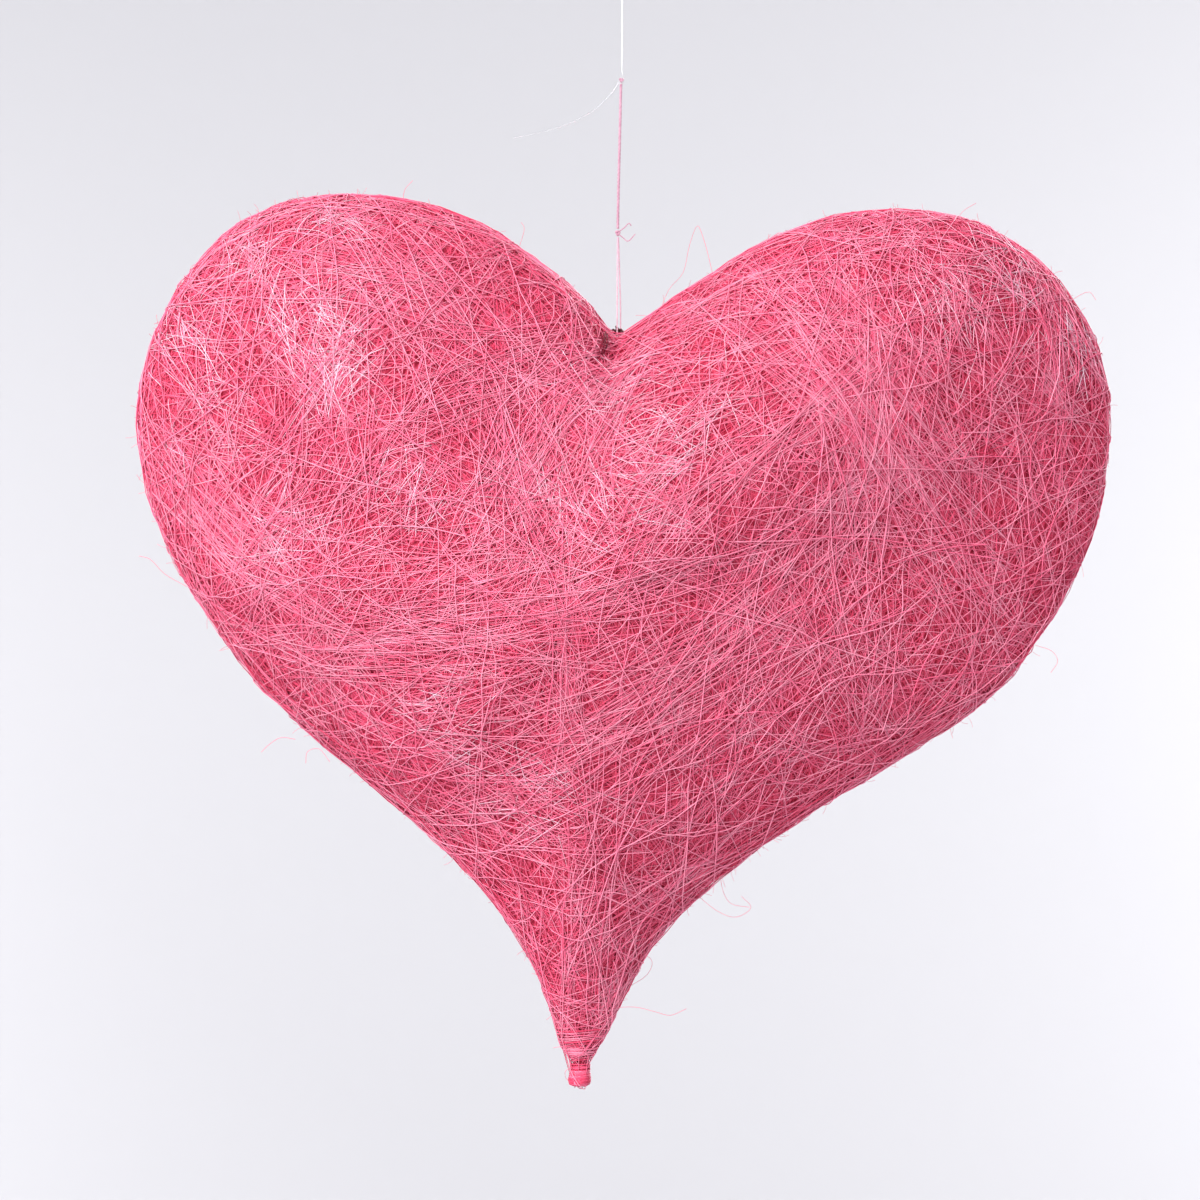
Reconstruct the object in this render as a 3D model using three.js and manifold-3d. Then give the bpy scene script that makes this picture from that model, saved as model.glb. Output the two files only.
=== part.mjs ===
// A hanging heart of dyed sisal fibre wound over a wire frame, with the thread and the line it hangs by.
// Millimetres, +Z up. The heart's front faces -Y. The origin is the top of the line's loop, where a hook
// carries it.
import * as THREE from 'three';
import { mergeVertices } from 'three/addons/utils/BufferGeometryUtils.js';
import Module from 'manifold-3d';

const wasm = await Module();
wasm.setup();

// Sizes of the heart
const heart = {
  width: 300,
  height: 276,
  halfDepth: 50,      // from the rim's plane to the nose, on the front and on the back
  edgeRadius: 2.4,    // the rim, where the fibre turns round the frame's wire
  notchFromLine: -1.6 // the bottom of the notch is this far to the right of the hanging line
};

// Sizes of the fibre-bound knob at the tip, and of the wire end that lies in the notch
const knob = { radius: 3.4, neckRadius: 3.05, collarRadius: 5.6, length: 15.5, sides: 16 };
const twist = {
  wireRadius: 0.55,
  radius: 1.3,
  turns: 3,
  pitch: 1.15,
  sides: 10,
  overNotch: 1.47,   // its underside stays this far above the bottom of the notch, where the sides close in
  besideNotch: 0.3   // its middle is this far to the right of the bottom of the notch
};

// Sizes of the hanging thread and the clear line
const thread = {
  diameter: 0.5,
  doubledDiameter: 0.9,
  knotRadius: 0.85,
  tailDiameter: 0.42,
  knotFromLine: -1.15, // the knot hangs this far to the right of the hanging line
  topFromLine: -0.15,  // and so does the thread's top, at the line's knot
  bendOverTwist: 1.2,  // the strands come down to each side of the twist this far above its middle
  endUnderTwist: 0.9   // and end this far below its middle
};
const line = { diameter: 0.35, knotRadius: 0.75, loopWidth: 2.6, loopKnotRadius: 0.6 };
const gap = 0.3;      // left between pieces that touch
const tubeSides = 8;

// Heights on the hanging line, measured from the hook. The heart hangs by its notch, under the twist.
const level = { loopKnot: -6.2, lineKnot: -38.6, threadKnot: -85.8, twist: -116.6 };
level.notch = level.twist - twist.radius - twist.overNotch;

// Mesh density of the wound body
const around = 110;   // points around the rim
const rings = 13;     // rings from the nose to the rim, on each face
const edgeRings = 2;  // rings on each quarter of the rounded rim

// The outline as shares of the width (from its middle) and of the height (down from the top)
const notch = [-0.007, 0.1644];
const nose = [-0.0442, 0.4508];
const tip = [-0.0442, 0.9743];
const rightSide = [
  notch, [0.069, 0.104], [0.182, 0.0358], [0.3004, 0.0179], [0.4033, 0.0537], [0.4805, 0.1488],
  [0.5, 0.274], [0.4733, 0.4083], [0.3951, 0.5425], [0.3148, 0.6096], [0.182, 0.6991],
  [0.0977, 0.7662], [0.035, 0.8333], [-0.001, 0.9004], [-0.0215, 0.9474], tip
];
const leftSide = [
  tip, [-0.0645, 0.9474], [-0.0772, 0.9004], [-0.107, 0.8333], [-0.1533, 0.7662], [-0.215, 0.6991],
  [-0.3138, 0.6096], [-0.3961, 0.5201], [-0.4712, 0.3859], [-0.5, 0.2517], [-0.465, 0.1174],
  [-0.3879, 0.028], [-0.2788, 0], [-0.1626, 0.0246], [-0.0617, 0.0951], [-0.0185, 0.1465], notch
];

// The lines that shape each face, each running from the nose to the rim. bearing is where it runs, in degrees
// anticlockwise from the right, r of the way out. A crest lies on a hoop of the frame and is creased, and the
// others lie where the fibre is stretched flat or sags between hoops. full is how far out a line stays high,
// and edge is how it meets the rim: 0.5 is round and 1 is straight.
const spokes = [
  { crest: false, bearing: (r) => -24 + 16 * r * r, full: 1.25, edge: 0.8 },   // where the right panel turns down
  { crest: false, bearing: () => 5, full: 1.2, edge: 0.76 },                   // right panel
  { crest: true, bearing: () => 40, full: 3.3, edge: 0.6 },                    // right crest
  { crest: false, bearing: (r) => 84 + 40 * (1 - r), full: 1.1, edge: 0.6 },   // valley up to the notch
  { crest: true, bearing: (r) => 146 - 22 * r * r, full: 3.0, edge: 0.6 },     // left crest
  { crest: false, bearing: (r) => 160 - 8 * r * r, full: 1.75, edge: 0.74 },   // left panel
  { crest: true, bearing: (r) => 172 + 5 * r, full: 2.3, edge: 0.65 },         // left rib
  { crest: false, bearing: () => 205, full: 1.8, edge: 0.73 },                 // panel under the left rib
  { crest: true, bearing: () => 228, full: 1.8, edge: 0.75 },                  // lower fold
  { crest: false, bearing: () => 254, full: 1.3, edge: 0.86 },                 // lower left hollow
  { crest: true, bearing: () => 273, full: 1.3, edge: 0.92 },                  // keel
  { crest: false, bearing: () => 315, full: 1.3, edge: 0.8 }                   // lower right panel
];
const reachSpread = 9; // rays on each side over which the rim's shape fades out towards the nose

const colours = { sisal: 0xe0718f, wire: 0x4a2a2c, thread: 0xf0b4c8, line: 0xe9e9ee };

function degrees(x, z) {
  const angle = THREE.MathUtils.radToDeg(Math.atan2(z, x));
  return THREE.MathUtils.euclideanModulo(angle, 360);
}

// A point of the heart's flat outline, in millimetres from the hook
function onFace([across, down]) {
  const x = heart.notchFromLine + (across - notch[0]) * heart.width;
  const z = level.notch - (down - notch[1]) * heart.height;
  return new THREE.Vector2(x, z);
}

// Points evenly spaced round the rim, from the notch down the right side and up the left
function rimPoints() {
  const half = around / 2;
  const right = new THREE.SplineCurve(rightSide.map(onFace)).getSpacedPoints(half);
  const left = new THREE.SplineCurve(leftSide.map(onFace)).getSpacedPoints(half);
  return [...right.slice(0, half), ...left.slice(0, half)];
}

// How far one line has given way to the next, creased at a crest and smooth at the others
function easing(before, after, share) {
  if (before.crest && !after.crest) return Math.sin((Math.PI / 2) * share);
  if (!before.crest && after.crest) return 1 - Math.cos((Math.PI / 2) * share);
  return before.crest ? share : (1 - Math.cos(Math.PI * share)) / 2;
}

// How high the face stands over the rim's plane, as a share, r of the way from the nose to the rim
function faceHeight(angle, r) {
  const placed = spokes.map((s) => ({ ...s, at: THREE.MathUtils.euclideanModulo(s.bearing(r), 360) }));
  placed.sort((a, b) => a.at - b.at);
  const next = placed.findIndex((s) => s.at > angle);
  const after = next < 0 ? placed[0] : placed[next];
  const before = next < 0 ? placed.at(-1) : placed.at(next - 1);
  const span = THREE.MathUtils.euclideanModulo(after.at - before.at, 360);
  const share = easing(before, after, THREE.MathUtils.euclideanModulo(angle - before.at, 360) / span);
  const full = THREE.MathUtils.lerp(before.full, after.full, share);
  const edge = THREE.MathUtils.lerp(before.edge, after.edge, share);
  return Math.max(1 - r ** full, 0) ** edge;
}

// The distance from the nose and the height over the rim's plane, for each ring of one face
function faceProfile(angle, reach, softReach) {
  const { halfDepth, edgeRadius } = heart;
  const inner = reach - edgeRadius;
  const point = (distance, edgeHeight) => {
    const out = distance / reach;
    const r = distance / THREE.MathUtils.lerp(softReach, reach, out * out);
    return [distance, edgeHeight + (halfDepth - edgeRadius) * faceHeight(angle, Math.min(r, 1))];
  };
  const profile = [];
  for (let i = 1; i <= rings; i += 1) profile.push(point(inner * (1 - (1 - i / rings) ** 1.5), edgeRadius));
  for (let i = 1; i <= edgeRings; i += 1) {
    const turn = (Math.PI / 2) * (i / (edgeRings + 1));
    profile.push(point(inner + edgeRadius * Math.sin(turn), edgeRadius * Math.cos(turn)));
  }
  return profile;
}

// The mean reach of the rays around each one
function softened(reaches) {
  return reaches.map((_, i) => {
    let sum = 0;
    for (let k = -reachSpread; k <= reachSpread; k += 1) sum += reaches.at((i + k) % reaches.length);
    return sum / (2 * reachSpread + 1);
  });
}

// The wound body without its knob: two faces on rays from the nose, joined at the rim
function bodyGeometry() {
  const centre = onFace(nose);
  const vertices = [];
  const faces = [];
  const addVertex = (x, y, z) => vertices.push(x, y, z) / 3 - 1;
  const frontNose = addVertex(centre.x, -heart.halfDepth, centre.y);
  const backNose = addVertex(centre.x, heart.halfDepth, centre.y);
  const spread = rimPoints().map((point) => point.sub(centre));
  const softReaches = softened(spread.map((away) => away.length()));
  const rays = spread.map((away, i) => {
    const reach = away.length();
    const profile = faceProfile(degrees(away.x, away.y), reach, softReaches[i]);
    const place = (distance, y) => {
      const share = distance / reach;
      return addVertex(centre.x + away.x * share, y, centre.y + away.y * share);
    };
    const front = profile.map(([distance, height]) => place(distance, -height));
    const rim = place(reach, 0);
    const back = profile.map(([distance, height]) => place(distance, height)).reverse();
    return [frontNose, ...front, rim, ...back, backNose];
  });
  rays.forEach((ray, i) => {
    const other = rays[(i + 1) % rays.length];
    for (let k = 0; k < ray.length - 1; k += 1) {
      if (ray[k] !== other[k]) faces.push(ray[k], other[k], ray[k + 1]);
      if (ray[k + 1] !== other[k + 1]) faces.push(other[k], other[k + 1], ray[k + 1]);
    }
  });
  const geometry = new THREE.BufferGeometry();
  geometry.setAttribute('position', new THREE.Float32BufferAttribute(vertices, 3));
  geometry.setIndex(faces);
  return geometry;
}

// The fibre-bound knob, turned about the vertical line through the tip and let into the cone above it
function knobGeometry() {
  const { radius, neckRadius, collarRadius, length } = knob;
  const profile = [
    [0, 0], [radius * 0.62, length * 0.04], [radius * 0.95, length * 0.12], [radius, length * 0.2],
    [neckRadius, length * 0.34], [neckRadius, length * 0.5], [neckRadius * 1.2, length * 0.62],
    [collarRadius, length * 0.8], [collarRadius * 0.6, length], [0, length]
  ];
  const geometry = new THREE.LatheGeometry(profile.map(([r, h]) => new THREE.Vector2(r, h)), knob.sides);
  geometry.rotateX(Math.PI / 2);
  geometry.translate(onFace(tip).x, 0, onFace([tip[0], 1]).y);
  return geometry;
}

function toSolid(geometry) {
  const bare = geometry.clone();
  bare.deleteAttribute('normal');
  bare.deleteAttribute('uv');
  const merged = mergeVertices(bare, 1e-4);
  const vertProperties = new Float32Array(merged.attributes.position.array);
  const triVerts = new Uint32Array(merged.index.array);
  return new wasm.Manifold(new wasm.Mesh({ numProp: 3, vertProperties, triVerts }));
}

function fuse(...geometries) {
  const solid = geometries.map(toSolid).reduce((whole, piece) => whole.add(piece));
  const mesh = solid.getMesh();
  const geometry = new THREE.BufferGeometry();
  geometry.setAttribute('position', new THREE.BufferAttribute(mesh.vertProperties, 3));
  geometry.setIndex(new THREE.BufferAttribute(mesh.triVerts, 1));
  return geometry;
}

// A round tube along a smooth curve through the given points
function tube(points, diameter, steps, sides = tubeSides) {
  const section = new THREE.Shape();
  for (let i = 0; i < sides; i += 1) {
    const turn = (2 * Math.PI * i) / sides;
    const x = (diameter / 2) * Math.cos(turn);
    const y = (diameter / 2) * Math.sin(turn);
    if (i === 0) section.moveTo(x, y);
    else section.lineTo(x, y);
  }
  const path = new THREE.CatmullRomCurve3(points.map((p) => new THREE.Vector3(...p)), false, 'centripetal');
  return new THREE.ExtrudeGeometry(section, { steps, extrudePath: path, bevelEnabled: false });
}

function bead(radius, tallness, [x, y, z]) {
  const geometry = new THREE.SphereGeometry(radius, 10, 7);
  geometry.rotateX(Math.PI / 2);
  geometry.scale(1, 1, tallness);
  geometry.translate(x, y, z);
  return geometry;
}

// The frame's wire end, wound round itself across the notch
const twistAcross = heart.notchFromLine + twist.besideNotch;

function twistGeometry() {
  const { wireRadius, radius, turns, pitch, sides } = twist;
  const core = radius - wireRadius;
  const profile = [new THREE.Vector2(0, 0)];
  for (let i = 0; i < turns; i += 1) {
    for (let k = 0; k <= 4; k += 1) {
      const share = k / 4;
      profile.push(new THREE.Vector2(core + wireRadius * Math.sin(Math.PI * share), (i + share) * pitch));
    }
  }
  profile.push(new THREE.Vector2(0, turns * pitch));
  const geometry = new THREE.LatheGeometry(profile, sides);
  geometry.translate(0, (-turns * pitch) / 2, 0);
  geometry.rotateZ(-Math.PI / 2);
  geometry.translate(twistAcross, 0, level.twist);
  return geometry;
}

// How much taller than wide the knots are
const threadKnotTallness = 1.2;
const lineKnotTallness = 1.3;

// One of the thread's two strands, in front of the twist where side is -1 and behind it where side is 1.
// overTwist is how far to the right of the twist's middle it passes.
function strandPoints(side, overTwist) {
  const top = level.threadKnot - thread.knotRadius * threadKnotTallness - gap;
  const nearKnot = thread.diameter * 0.7;
  const nearTwist = twist.radius + gap + thread.diameter / 2;
  const across = (share) => THREE.MathUtils.lerp(thread.knotFromLine, twistAcross + overTwist, share);
  const aside = (share) => side * THREE.MathUtils.lerp(nearKnot, nearTwist, share);
  const down = (share) => THREE.MathUtils.lerp(top, level.twist, share);
  return [
    [across(0.25), aside(0), top],
    [across(0.6), aside(0.17), down(0.35)],
    [across(1), aside(0.5), down(0.75)],
    [across(1), aside(1), level.twist + thread.bendOverTwist],
    [across(1), aside(1), level.twist - thread.endUnderTwist]
  ];
}

// The thread's knot with its two cut ends
function threadKnotGeometry() {
  const x = thread.knotFromLine;
  const z = level.threadKnot;
  const upper = [[x, 0, z], [x + 2.05, -0.5, z + 1.6], [x + 3.45, -0.7, z + 2.9], [x + 4.15, -0.5, z + 2.2]];
  const lower = [[x, 0, z], [x + 1.65, -0.4, z - 1.5], [x + 3.1, -0.8, z - 2.6], [x + 5.4, -1, z - 0.4]];
  return fuse(
    bead(thread.knotRadius, threadKnotTallness, [x, 0, z]),
    tube(upper, thread.tailDiameter, 8),
    tube(lower, thread.tailDiameter, 9)
  );
}

// The thread above its knot, where both strands are twisted together
function doubledThreadPoints() {
  const low = level.threadKnot + thread.knotRadius * threadKnotTallness + gap;
  const high = level.lineKnot - line.knotRadius * lineKnotTallness - gap;
  const across = (share) => THREE.MathUtils.lerp(thread.knotFromLine, thread.topFromLine, share);
  const up = (share) => THREE.MathUtils.lerp(low, high, share);
  return [[across(0), 0, low], [across(0.25), 0, up(0.3)], [across(0.65), 0, up(0.65)], [across(1), 0, high]];
}

// The clear line from its knot on the thread up to its loop
function linePoints() {
  const low = level.lineKnot + line.knotRadius * lineKnotTallness + gap;
  const high = level.loopKnot - line.loopKnotRadius * lineKnotTallness - gap;
  return [[0, 0, low], [0.08, 0, (low + high) / 2], [0, 0, high]];
}

// The line's other end, cut off and springing out to the left
function lineTailPoints() {
  const z = level.lineKnot;
  const start = line.knotRadius + gap;
  return [
    [-start, 0, z - 0.9], [-2.6, -0.3, z - 3.4], [-5.1, -0.8, z - 6.2], [-8.6, -1.2, z - 9.5],
    [-11.4, -1.6, z - 11.2], [-16.3, -1.9, z - 13.7], [-21.8, -1.9, z - 15.5], [-27, -1.6, z - 16.8],
    [-33.2, -1, z - 18]
  ];
}

// The loop that the hook goes through, with its knot
function loopGeometry() {
  const { loopWidth, diameter, loopKnotRadius } = line;
  const half = loopWidth / 2;
  const up = (share) => THREE.MathUtils.lerp(level.loopKnot, -diameter / 2, share);
  const points = [
    [-half * 0.12, 0, up(0)], [-half * 0.7, 0, up(0.3)], [-half, 0, up(0.6)], [0, 0, up(1)],
    [half, 0, up(0.6)], [half * 0.7, 0, up(0.3)], [half * 0.12, 0, up(0)]
  ];
  return fuse(tube(points, diameter, 22), bead(loopKnotRadius, lineKnotTallness, [0, 0, level.loopKnot]));
}

function piece(name, geometry, color, roughness, metalness = 0) {
  const mesh = new THREE.Mesh(geometry, new THREE.MeshStandardMaterial({ color, roughness, metalness }));
  mesh.name = name;
  return mesh;
}

const ornament = new THREE.Group();
ornament.add(
  piece('sisal_heart', fuse(bodyGeometry(), knobGeometry()), colours.sisal, 0.6),
  piece('wire_twist', twistGeometry(), colours.wire, 0.5, 0.6),
  piece('thread_strand_front', tube(strandPoints(-1, -0.05), thread.diameter, 13), colours.thread, 0.7),
  piece('thread_strand_back', tube(strandPoints(1, 1), thread.diameter, 13), colours.thread, 0.7),
  piece('thread_knot', threadKnotGeometry(), colours.thread, 0.7),
  piece('thread_doubled', tube(doubledThreadPoints(), thread.doubledDiameter, 12), colours.thread, 0.7),
  piece('line_knot', bead(line.knotRadius, lineKnotTallness, [0, 0, level.lineKnot]), colours.line, 0.2),
  piece('line_upper', tube(linePoints(), line.diameter, 8), colours.line, 0.2),
  piece('line_tail', tube(lineTailPoints(), line.diameter, 26), colours.line, 0.2),
  piece('line_loop', loopGeometry(), colours.line, 0.2)
);

export default ornament;
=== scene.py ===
import math
import random

import bmesh
import bpy
from mathutils import Matrix, Vector, noise
from mathutils.bvhtree import BVHTree


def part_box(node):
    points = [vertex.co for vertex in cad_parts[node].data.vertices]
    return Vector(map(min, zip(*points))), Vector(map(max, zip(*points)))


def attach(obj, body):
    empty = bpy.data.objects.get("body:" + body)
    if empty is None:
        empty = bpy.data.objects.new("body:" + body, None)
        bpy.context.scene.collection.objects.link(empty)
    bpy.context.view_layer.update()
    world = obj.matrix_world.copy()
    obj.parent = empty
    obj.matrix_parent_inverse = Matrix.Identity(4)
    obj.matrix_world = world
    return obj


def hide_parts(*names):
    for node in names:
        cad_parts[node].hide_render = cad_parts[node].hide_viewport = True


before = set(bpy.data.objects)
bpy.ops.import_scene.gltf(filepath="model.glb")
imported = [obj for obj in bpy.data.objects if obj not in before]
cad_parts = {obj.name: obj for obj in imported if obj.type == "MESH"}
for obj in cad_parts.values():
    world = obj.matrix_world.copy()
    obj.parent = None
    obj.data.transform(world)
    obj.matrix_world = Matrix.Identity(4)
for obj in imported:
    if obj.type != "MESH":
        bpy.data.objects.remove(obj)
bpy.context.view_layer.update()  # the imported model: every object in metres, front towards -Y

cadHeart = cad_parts["sisal_heart"]
heartLow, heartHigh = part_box("sisal_heart")
mm = 0.001
print("frame loaded")


# Camera
view = {
    "pictureWidth": 370.37 * mm,       # of the rim's plane, from edge to edge of the picture
    "centre": (-6.64 * mm, -199.1 * mm),
    "distance": 1.6,
    "sensor": 36.0,
}


def addCamera():
    data = bpy.data.cameras.new("camera")
    data.sensor_width = view["sensor"]
    data.lens = view["sensor"] * view["distance"] / view["pictureWidth"]
    data.clip_end = 50
    camera = bpy.data.objects.new("camera", data)
    x, z = view["centre"]
    camera.location = (x, -view["distance"], z)
    camera.rotation_euler = (math.radians(90), 0, 0)
    bpy.context.collection.objects.link(camera)
    bpy.context.scene.camera = camera


addCamera()
print("camera placed")


# Small helpers
def linked(name, mesh, *materials):
    piece = bpy.data.objects.new(name, mesh)
    bpy.context.collection.objects.link(piece)
    for material in materials:
        mesh.materials.append(material)
    return piece


def asPiece(piece, slot, *nodes):
    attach(piece, "root")
    if nodes:
        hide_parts(*nodes)


# A centripetal Catmull-Rom curve through the points, as the thread and the line run in the frame
def smoothRoute(points, stepsPerSpan):
    points = [Vector(p) for p in points]
    points = [2 * points[0] - points[1], *points, 2 * points[-1] - points[-2]]
    route = []
    for a, b, c, d in zip(points, points[1:], points[2:], points[3:]):
        knots = [0.0]
        for start, end in ((a, b), (b, c), (c, d)):
            knots.append(knots[-1] + max((end - start).length, 1e-9) ** 0.5)
        t0, t1, t2, t3 = knots
        for i in range(stepsPerSpan):
            t = t1 + (t2 - t1) * i / stepsPerSpan
            ab = a.lerp(b, (t - t0) / (t1 - t0))
            bc = b.lerp(c, (t - t1) / (t2 - t1))
            cd = c.lerp(d, (t - t2) / (t3 - t2))
            abc = ab.lerp(bc, (t - t0) / (t2 - t0))
            bcd = bc.lerp(cd, (t - t1) / (t3 - t1))
            route.append(abc.lerp(bcd, (t - t1) / (t2 - t1)))
    route.append(points[-2])
    return route


def routeLength(route):
    return sum((b - a).length for a, b in zip(route, route[1:]))


# Points spaced evenly along a route
def evenly(route, spacing):
    count = max(2, round(routeLength(route) / spacing))
    wanted = [routeLength(route) * i / count for i in range(count + 1)]
    spaced, gone, index = [], 0.0, 0
    for distance in wanted:
        while index < len(route) - 2 and gone + (route[index + 1] - route[index]).length < distance:
            gone += (route[index + 1] - route[index]).length
            index += 1
        span = (route[index + 1] - route[index]).length
        spaced.append(route[index].lerp(route[index + 1], min(1, (distance - gone) / span)))
    return spaced


# One yarn of a twisted thread: a helix round the route
def helixRound(route, radius, pitch, turnedBy):
    side = Vector((0, 1, 0))
    helix, gone = [], 0.0
    for i, point in enumerate(route):
        ahead = route[min(i + 1, len(route) - 1)] - route[max(i - 1, 0)]
        ahead.normalize()
        side = (side - ahead * side.dot(ahead)).normalized()
        if i:
            gone += (point - route[i - 1]).length
        angle = turnedBy + 2 * math.pi * gone / pitch
        helix.append(point + radius * (side * math.cos(angle) + ahead.cross(side) * math.sin(angle)))
    return helix


# A closed ring of a few corners that a curve carries along as its section
def section(corners):
    data = bpy.data.curves.new("section", "CURVE")
    data.dimensions = "2D"
    ring = data.splines.new("POLY")
    ring.points.add(corners - 1)
    for i, point in enumerate(ring.points):
        angle = 2 * math.pi * i / corners
        point.co = (math.cos(angle), math.sin(angle), 0, 1)
    ring.use_cyclic_u = True
    shape = bpy.data.objects.new("section", data)
    bpy.context.collection.objects.link(shape)
    return shape


# Round strands as one closed mesh. Each strand is (points, radii, index of its material)
def strandMesh(name, strands, corners, materials=(), cyclic=False):
    shape = section(corners)
    data = bpy.data.curves.new(name, "CURVE")
    data.dimensions = "3D"
    data.bevel_mode = "OBJECT"
    data.bevel_object = shape
    data.use_fill_caps = not cyclic
    for material in materials:
        data.materials.append(material)
    for points, radii, index in strands:
        spline = data.splines.new("POLY")
        spline.points.add(len(points) - 1)
        spline.points.foreach_set("co", [c for p in points for c in (p[0], p[1], p[2], 1)])
        spline.points.foreach_set("radius", radii)
        spline.use_cyclic_u = cyclic
        spline.material_index = index
    carrier = bpy.data.objects.new(name, data)
    bpy.context.collection.objects.link(carrier)
    bpy.context.view_layer.update()
    evaluated = carrier.evaluated_get(bpy.context.evaluated_depsgraph_get())
    mesh = bpy.data.meshes.new_from_object(evaluated)
    mesh.name = name
    mesh.shade_smooth()
    bpy.data.objects.remove(carrier)
    bpy.data.curves.remove(data)
    outline = shape.data
    bpy.data.objects.remove(shape)
    bpy.data.curves.remove(outline)
    return mesh


# Node trees
noiseRange = (0.3, 0.7)   # where most values of a noise texture lie


def newMaterial(name):
    material = bpy.data.materials.new(name)
    material.use_nodes = True
    nodes = material.node_tree.nodes
    shader = nodes["Principled BSDF"]
    return material, nodes, material.node_tree.links, shader


def objectNoise(nodes, links, scale, detail, stretch=(1, 1, 1), turn=(0, 0, 0)):
    place = nodes.new("ShaderNodeTexCoord")
    mapping = nodes.new("ShaderNodeMapping")
    mapping.inputs["Scale"].default_value = stretch
    mapping.inputs["Rotation"].default_value = [math.radians(a) for a in turn]
    pattern = nodes.new("ShaderNodeTexNoise")
    pattern.inputs["Scale"].default_value = scale
    pattern.inputs["Detail"].default_value = detail
    links.new(place.outputs["Object"], mapping.inputs["Vector"])
    links.new(mapping.outputs["Vector"], pattern.inputs["Vector"])
    return pattern.outputs["Fac"]


def ramp(nodes, links, source, stops):
    node = nodes.new("ShaderNodeValToRGB")
    elements = node.color_ramp.elements
    while len(elements) < len(stops):
        elements.new(0.5)
    for element, (position, colour) in zip(elements, stops):
        element.position = position
        element.color = (*colour, 1)
    links.new(source, node.inputs["Fac"])
    return node.outputs["Color"]


def spread(nodes, links, source, low, high):
    node = nodes.new("ShaderNodeMapRange")
    node.inputs["From Min"].default_value, node.inputs["From Max"].default_value = noiseRange
    node.inputs["To Min"].default_value = low
    node.inputs["To Max"].default_value = high
    links.new(source, node.inputs["Value"])
    return node.outputs["Result"]


def bumped(nodes, links, shader, source, distance, strength):
    bump = nodes.new("ShaderNodeBump")
    bump.inputs["Distance"].default_value = distance
    bump.inputs["Strength"].default_value = strength
    links.new(source, bump.inputs["Height"])
    links.new(bump.outputs["Normal"], shader.inputs["Normal"])


# Hanging thread, the routes as in the frame
thread = {
    "front": [(-1.2, -0.35, -87.12), (-1.27, -0.605, -97.44), (-1.35, -1.1, -109.23),
              (-1.35, -1.85, -115.4), (-1.35, -1.85, -117.5)],
    "back": [(-0.9375, 0.35, -87.12), (-0.64, 0.605, -97.44), (-0.3, 1.1, -109.23),
             (-0.3, 1.85, -115.4), (-0.3, 1.85, -117.5)],
    "doubled": [(-1.15, 0, -84.48), (-0.9, 0, -71.1), (-0.5, 0, -55.49), (-0.15, 0, -39.875)],
    "underTwist": [(-1.35, -1.85, -117.4), (-1.3, -1.75, -118.1), (-1.1, -1.1, -118.55), (-0.8, 0, -118.5),
                   (-0.5, 1.1, -118.55), (-0.3, 1.75, -118.1), (-0.3, 1.85, -117.4)],
    "diameter": 0.5,
    "doubledDiameter": 0.9,
    "pitch": 1.7,
    "doubledPitch": 3.4,
    "yarnShare": {2: 0.52, 3: 0.5},   # a yarn's radius as a share of the thread's, by how many there are
    "stepsPerTurn": 12,
}


def threadMaterial(name, pale, deep):
    material, nodes, links, shader = newMaterial(name)
    patches = objectNoise(nodes, links, 700, 4)
    links.new(ramp(nodes, links, patches, [(0.3, deep), (0.7, pale)]), shader.inputs["Base Color"])
    links.new(spread(nodes, links, patches, 0.75, 0.55), shader.inputs["Roughness"])
    shader.inputs["Sheen Weight"].default_value = 0.3
    shader.inputs["Sheen Roughness"].default_value = 0.4
    bumped(nodes, links, shader, objectNoise(nodes, links, 9000, 2), 0.05 * mm, 0.4)
    return material


def inMetres(points):
    return [Vector(p) * mm for p in points]


# Yarns twisted round each other along a route
def twistedMesh(name, route, diameter, pitch, yarns):
    yarnRadius = diameter / 2 * thread["yarnShare"][yarns]
    path = evenly(route, pitch / thread["stepsPerTurn"])
    strands = []
    for k in range(yarns):
        helix = helixRound(path, diameter / 2 - yarnRadius, pitch, 2 * math.pi * k / yarns)
        strands.append((helix, [yarnRadius] * len(helix), 0))
    return strandMesh(name, strands, 6)


palePink = threadMaterial("palePinkCotton", (0.86, 0.6, 0.7), (0.74, 0.44, 0.54))
rosePink = threadMaterial("rosePinkCotton", (0.64, 0.37, 0.47), (0.48, 0.22, 0.31))


def addThread():
    for name, key in (("thread_strand_front", "front"), ("thread_strand_back", "back")):
        route = smoothRoute(inMetres(thread[key]), 12)
        mesh = twistedMesh(name + "_yarns", route, thread["diameter"] * mm, thread["pitch"] * mm, 2)
        strand = linked(name + "_yarns", mesh, palePink)
        asPiece(strand, "thread", name)
    route = smoothRoute(inMetres(thread["doubled"]), 12)
    diameter = thread["doubledDiameter"] * mm
    mesh = twistedMesh("thread_doubled_yarns", route, diameter, thread["doubledPitch"] * mm, 3)
    doubled = linked("thread_doubled_yarns", mesh, rosePink)
    asPiece(doubled, "thread", "thread_doubled")
    turn = smoothRoute(inMetres(thread["underTwist"]), 8)
    mesh = twistedMesh("thread_under_twist", turn, thread["diameter"] * mm, thread["pitch"] * mm, 2)
    asPiece(linked("thread_under_twist", mesh, palePink), "thread")


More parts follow.
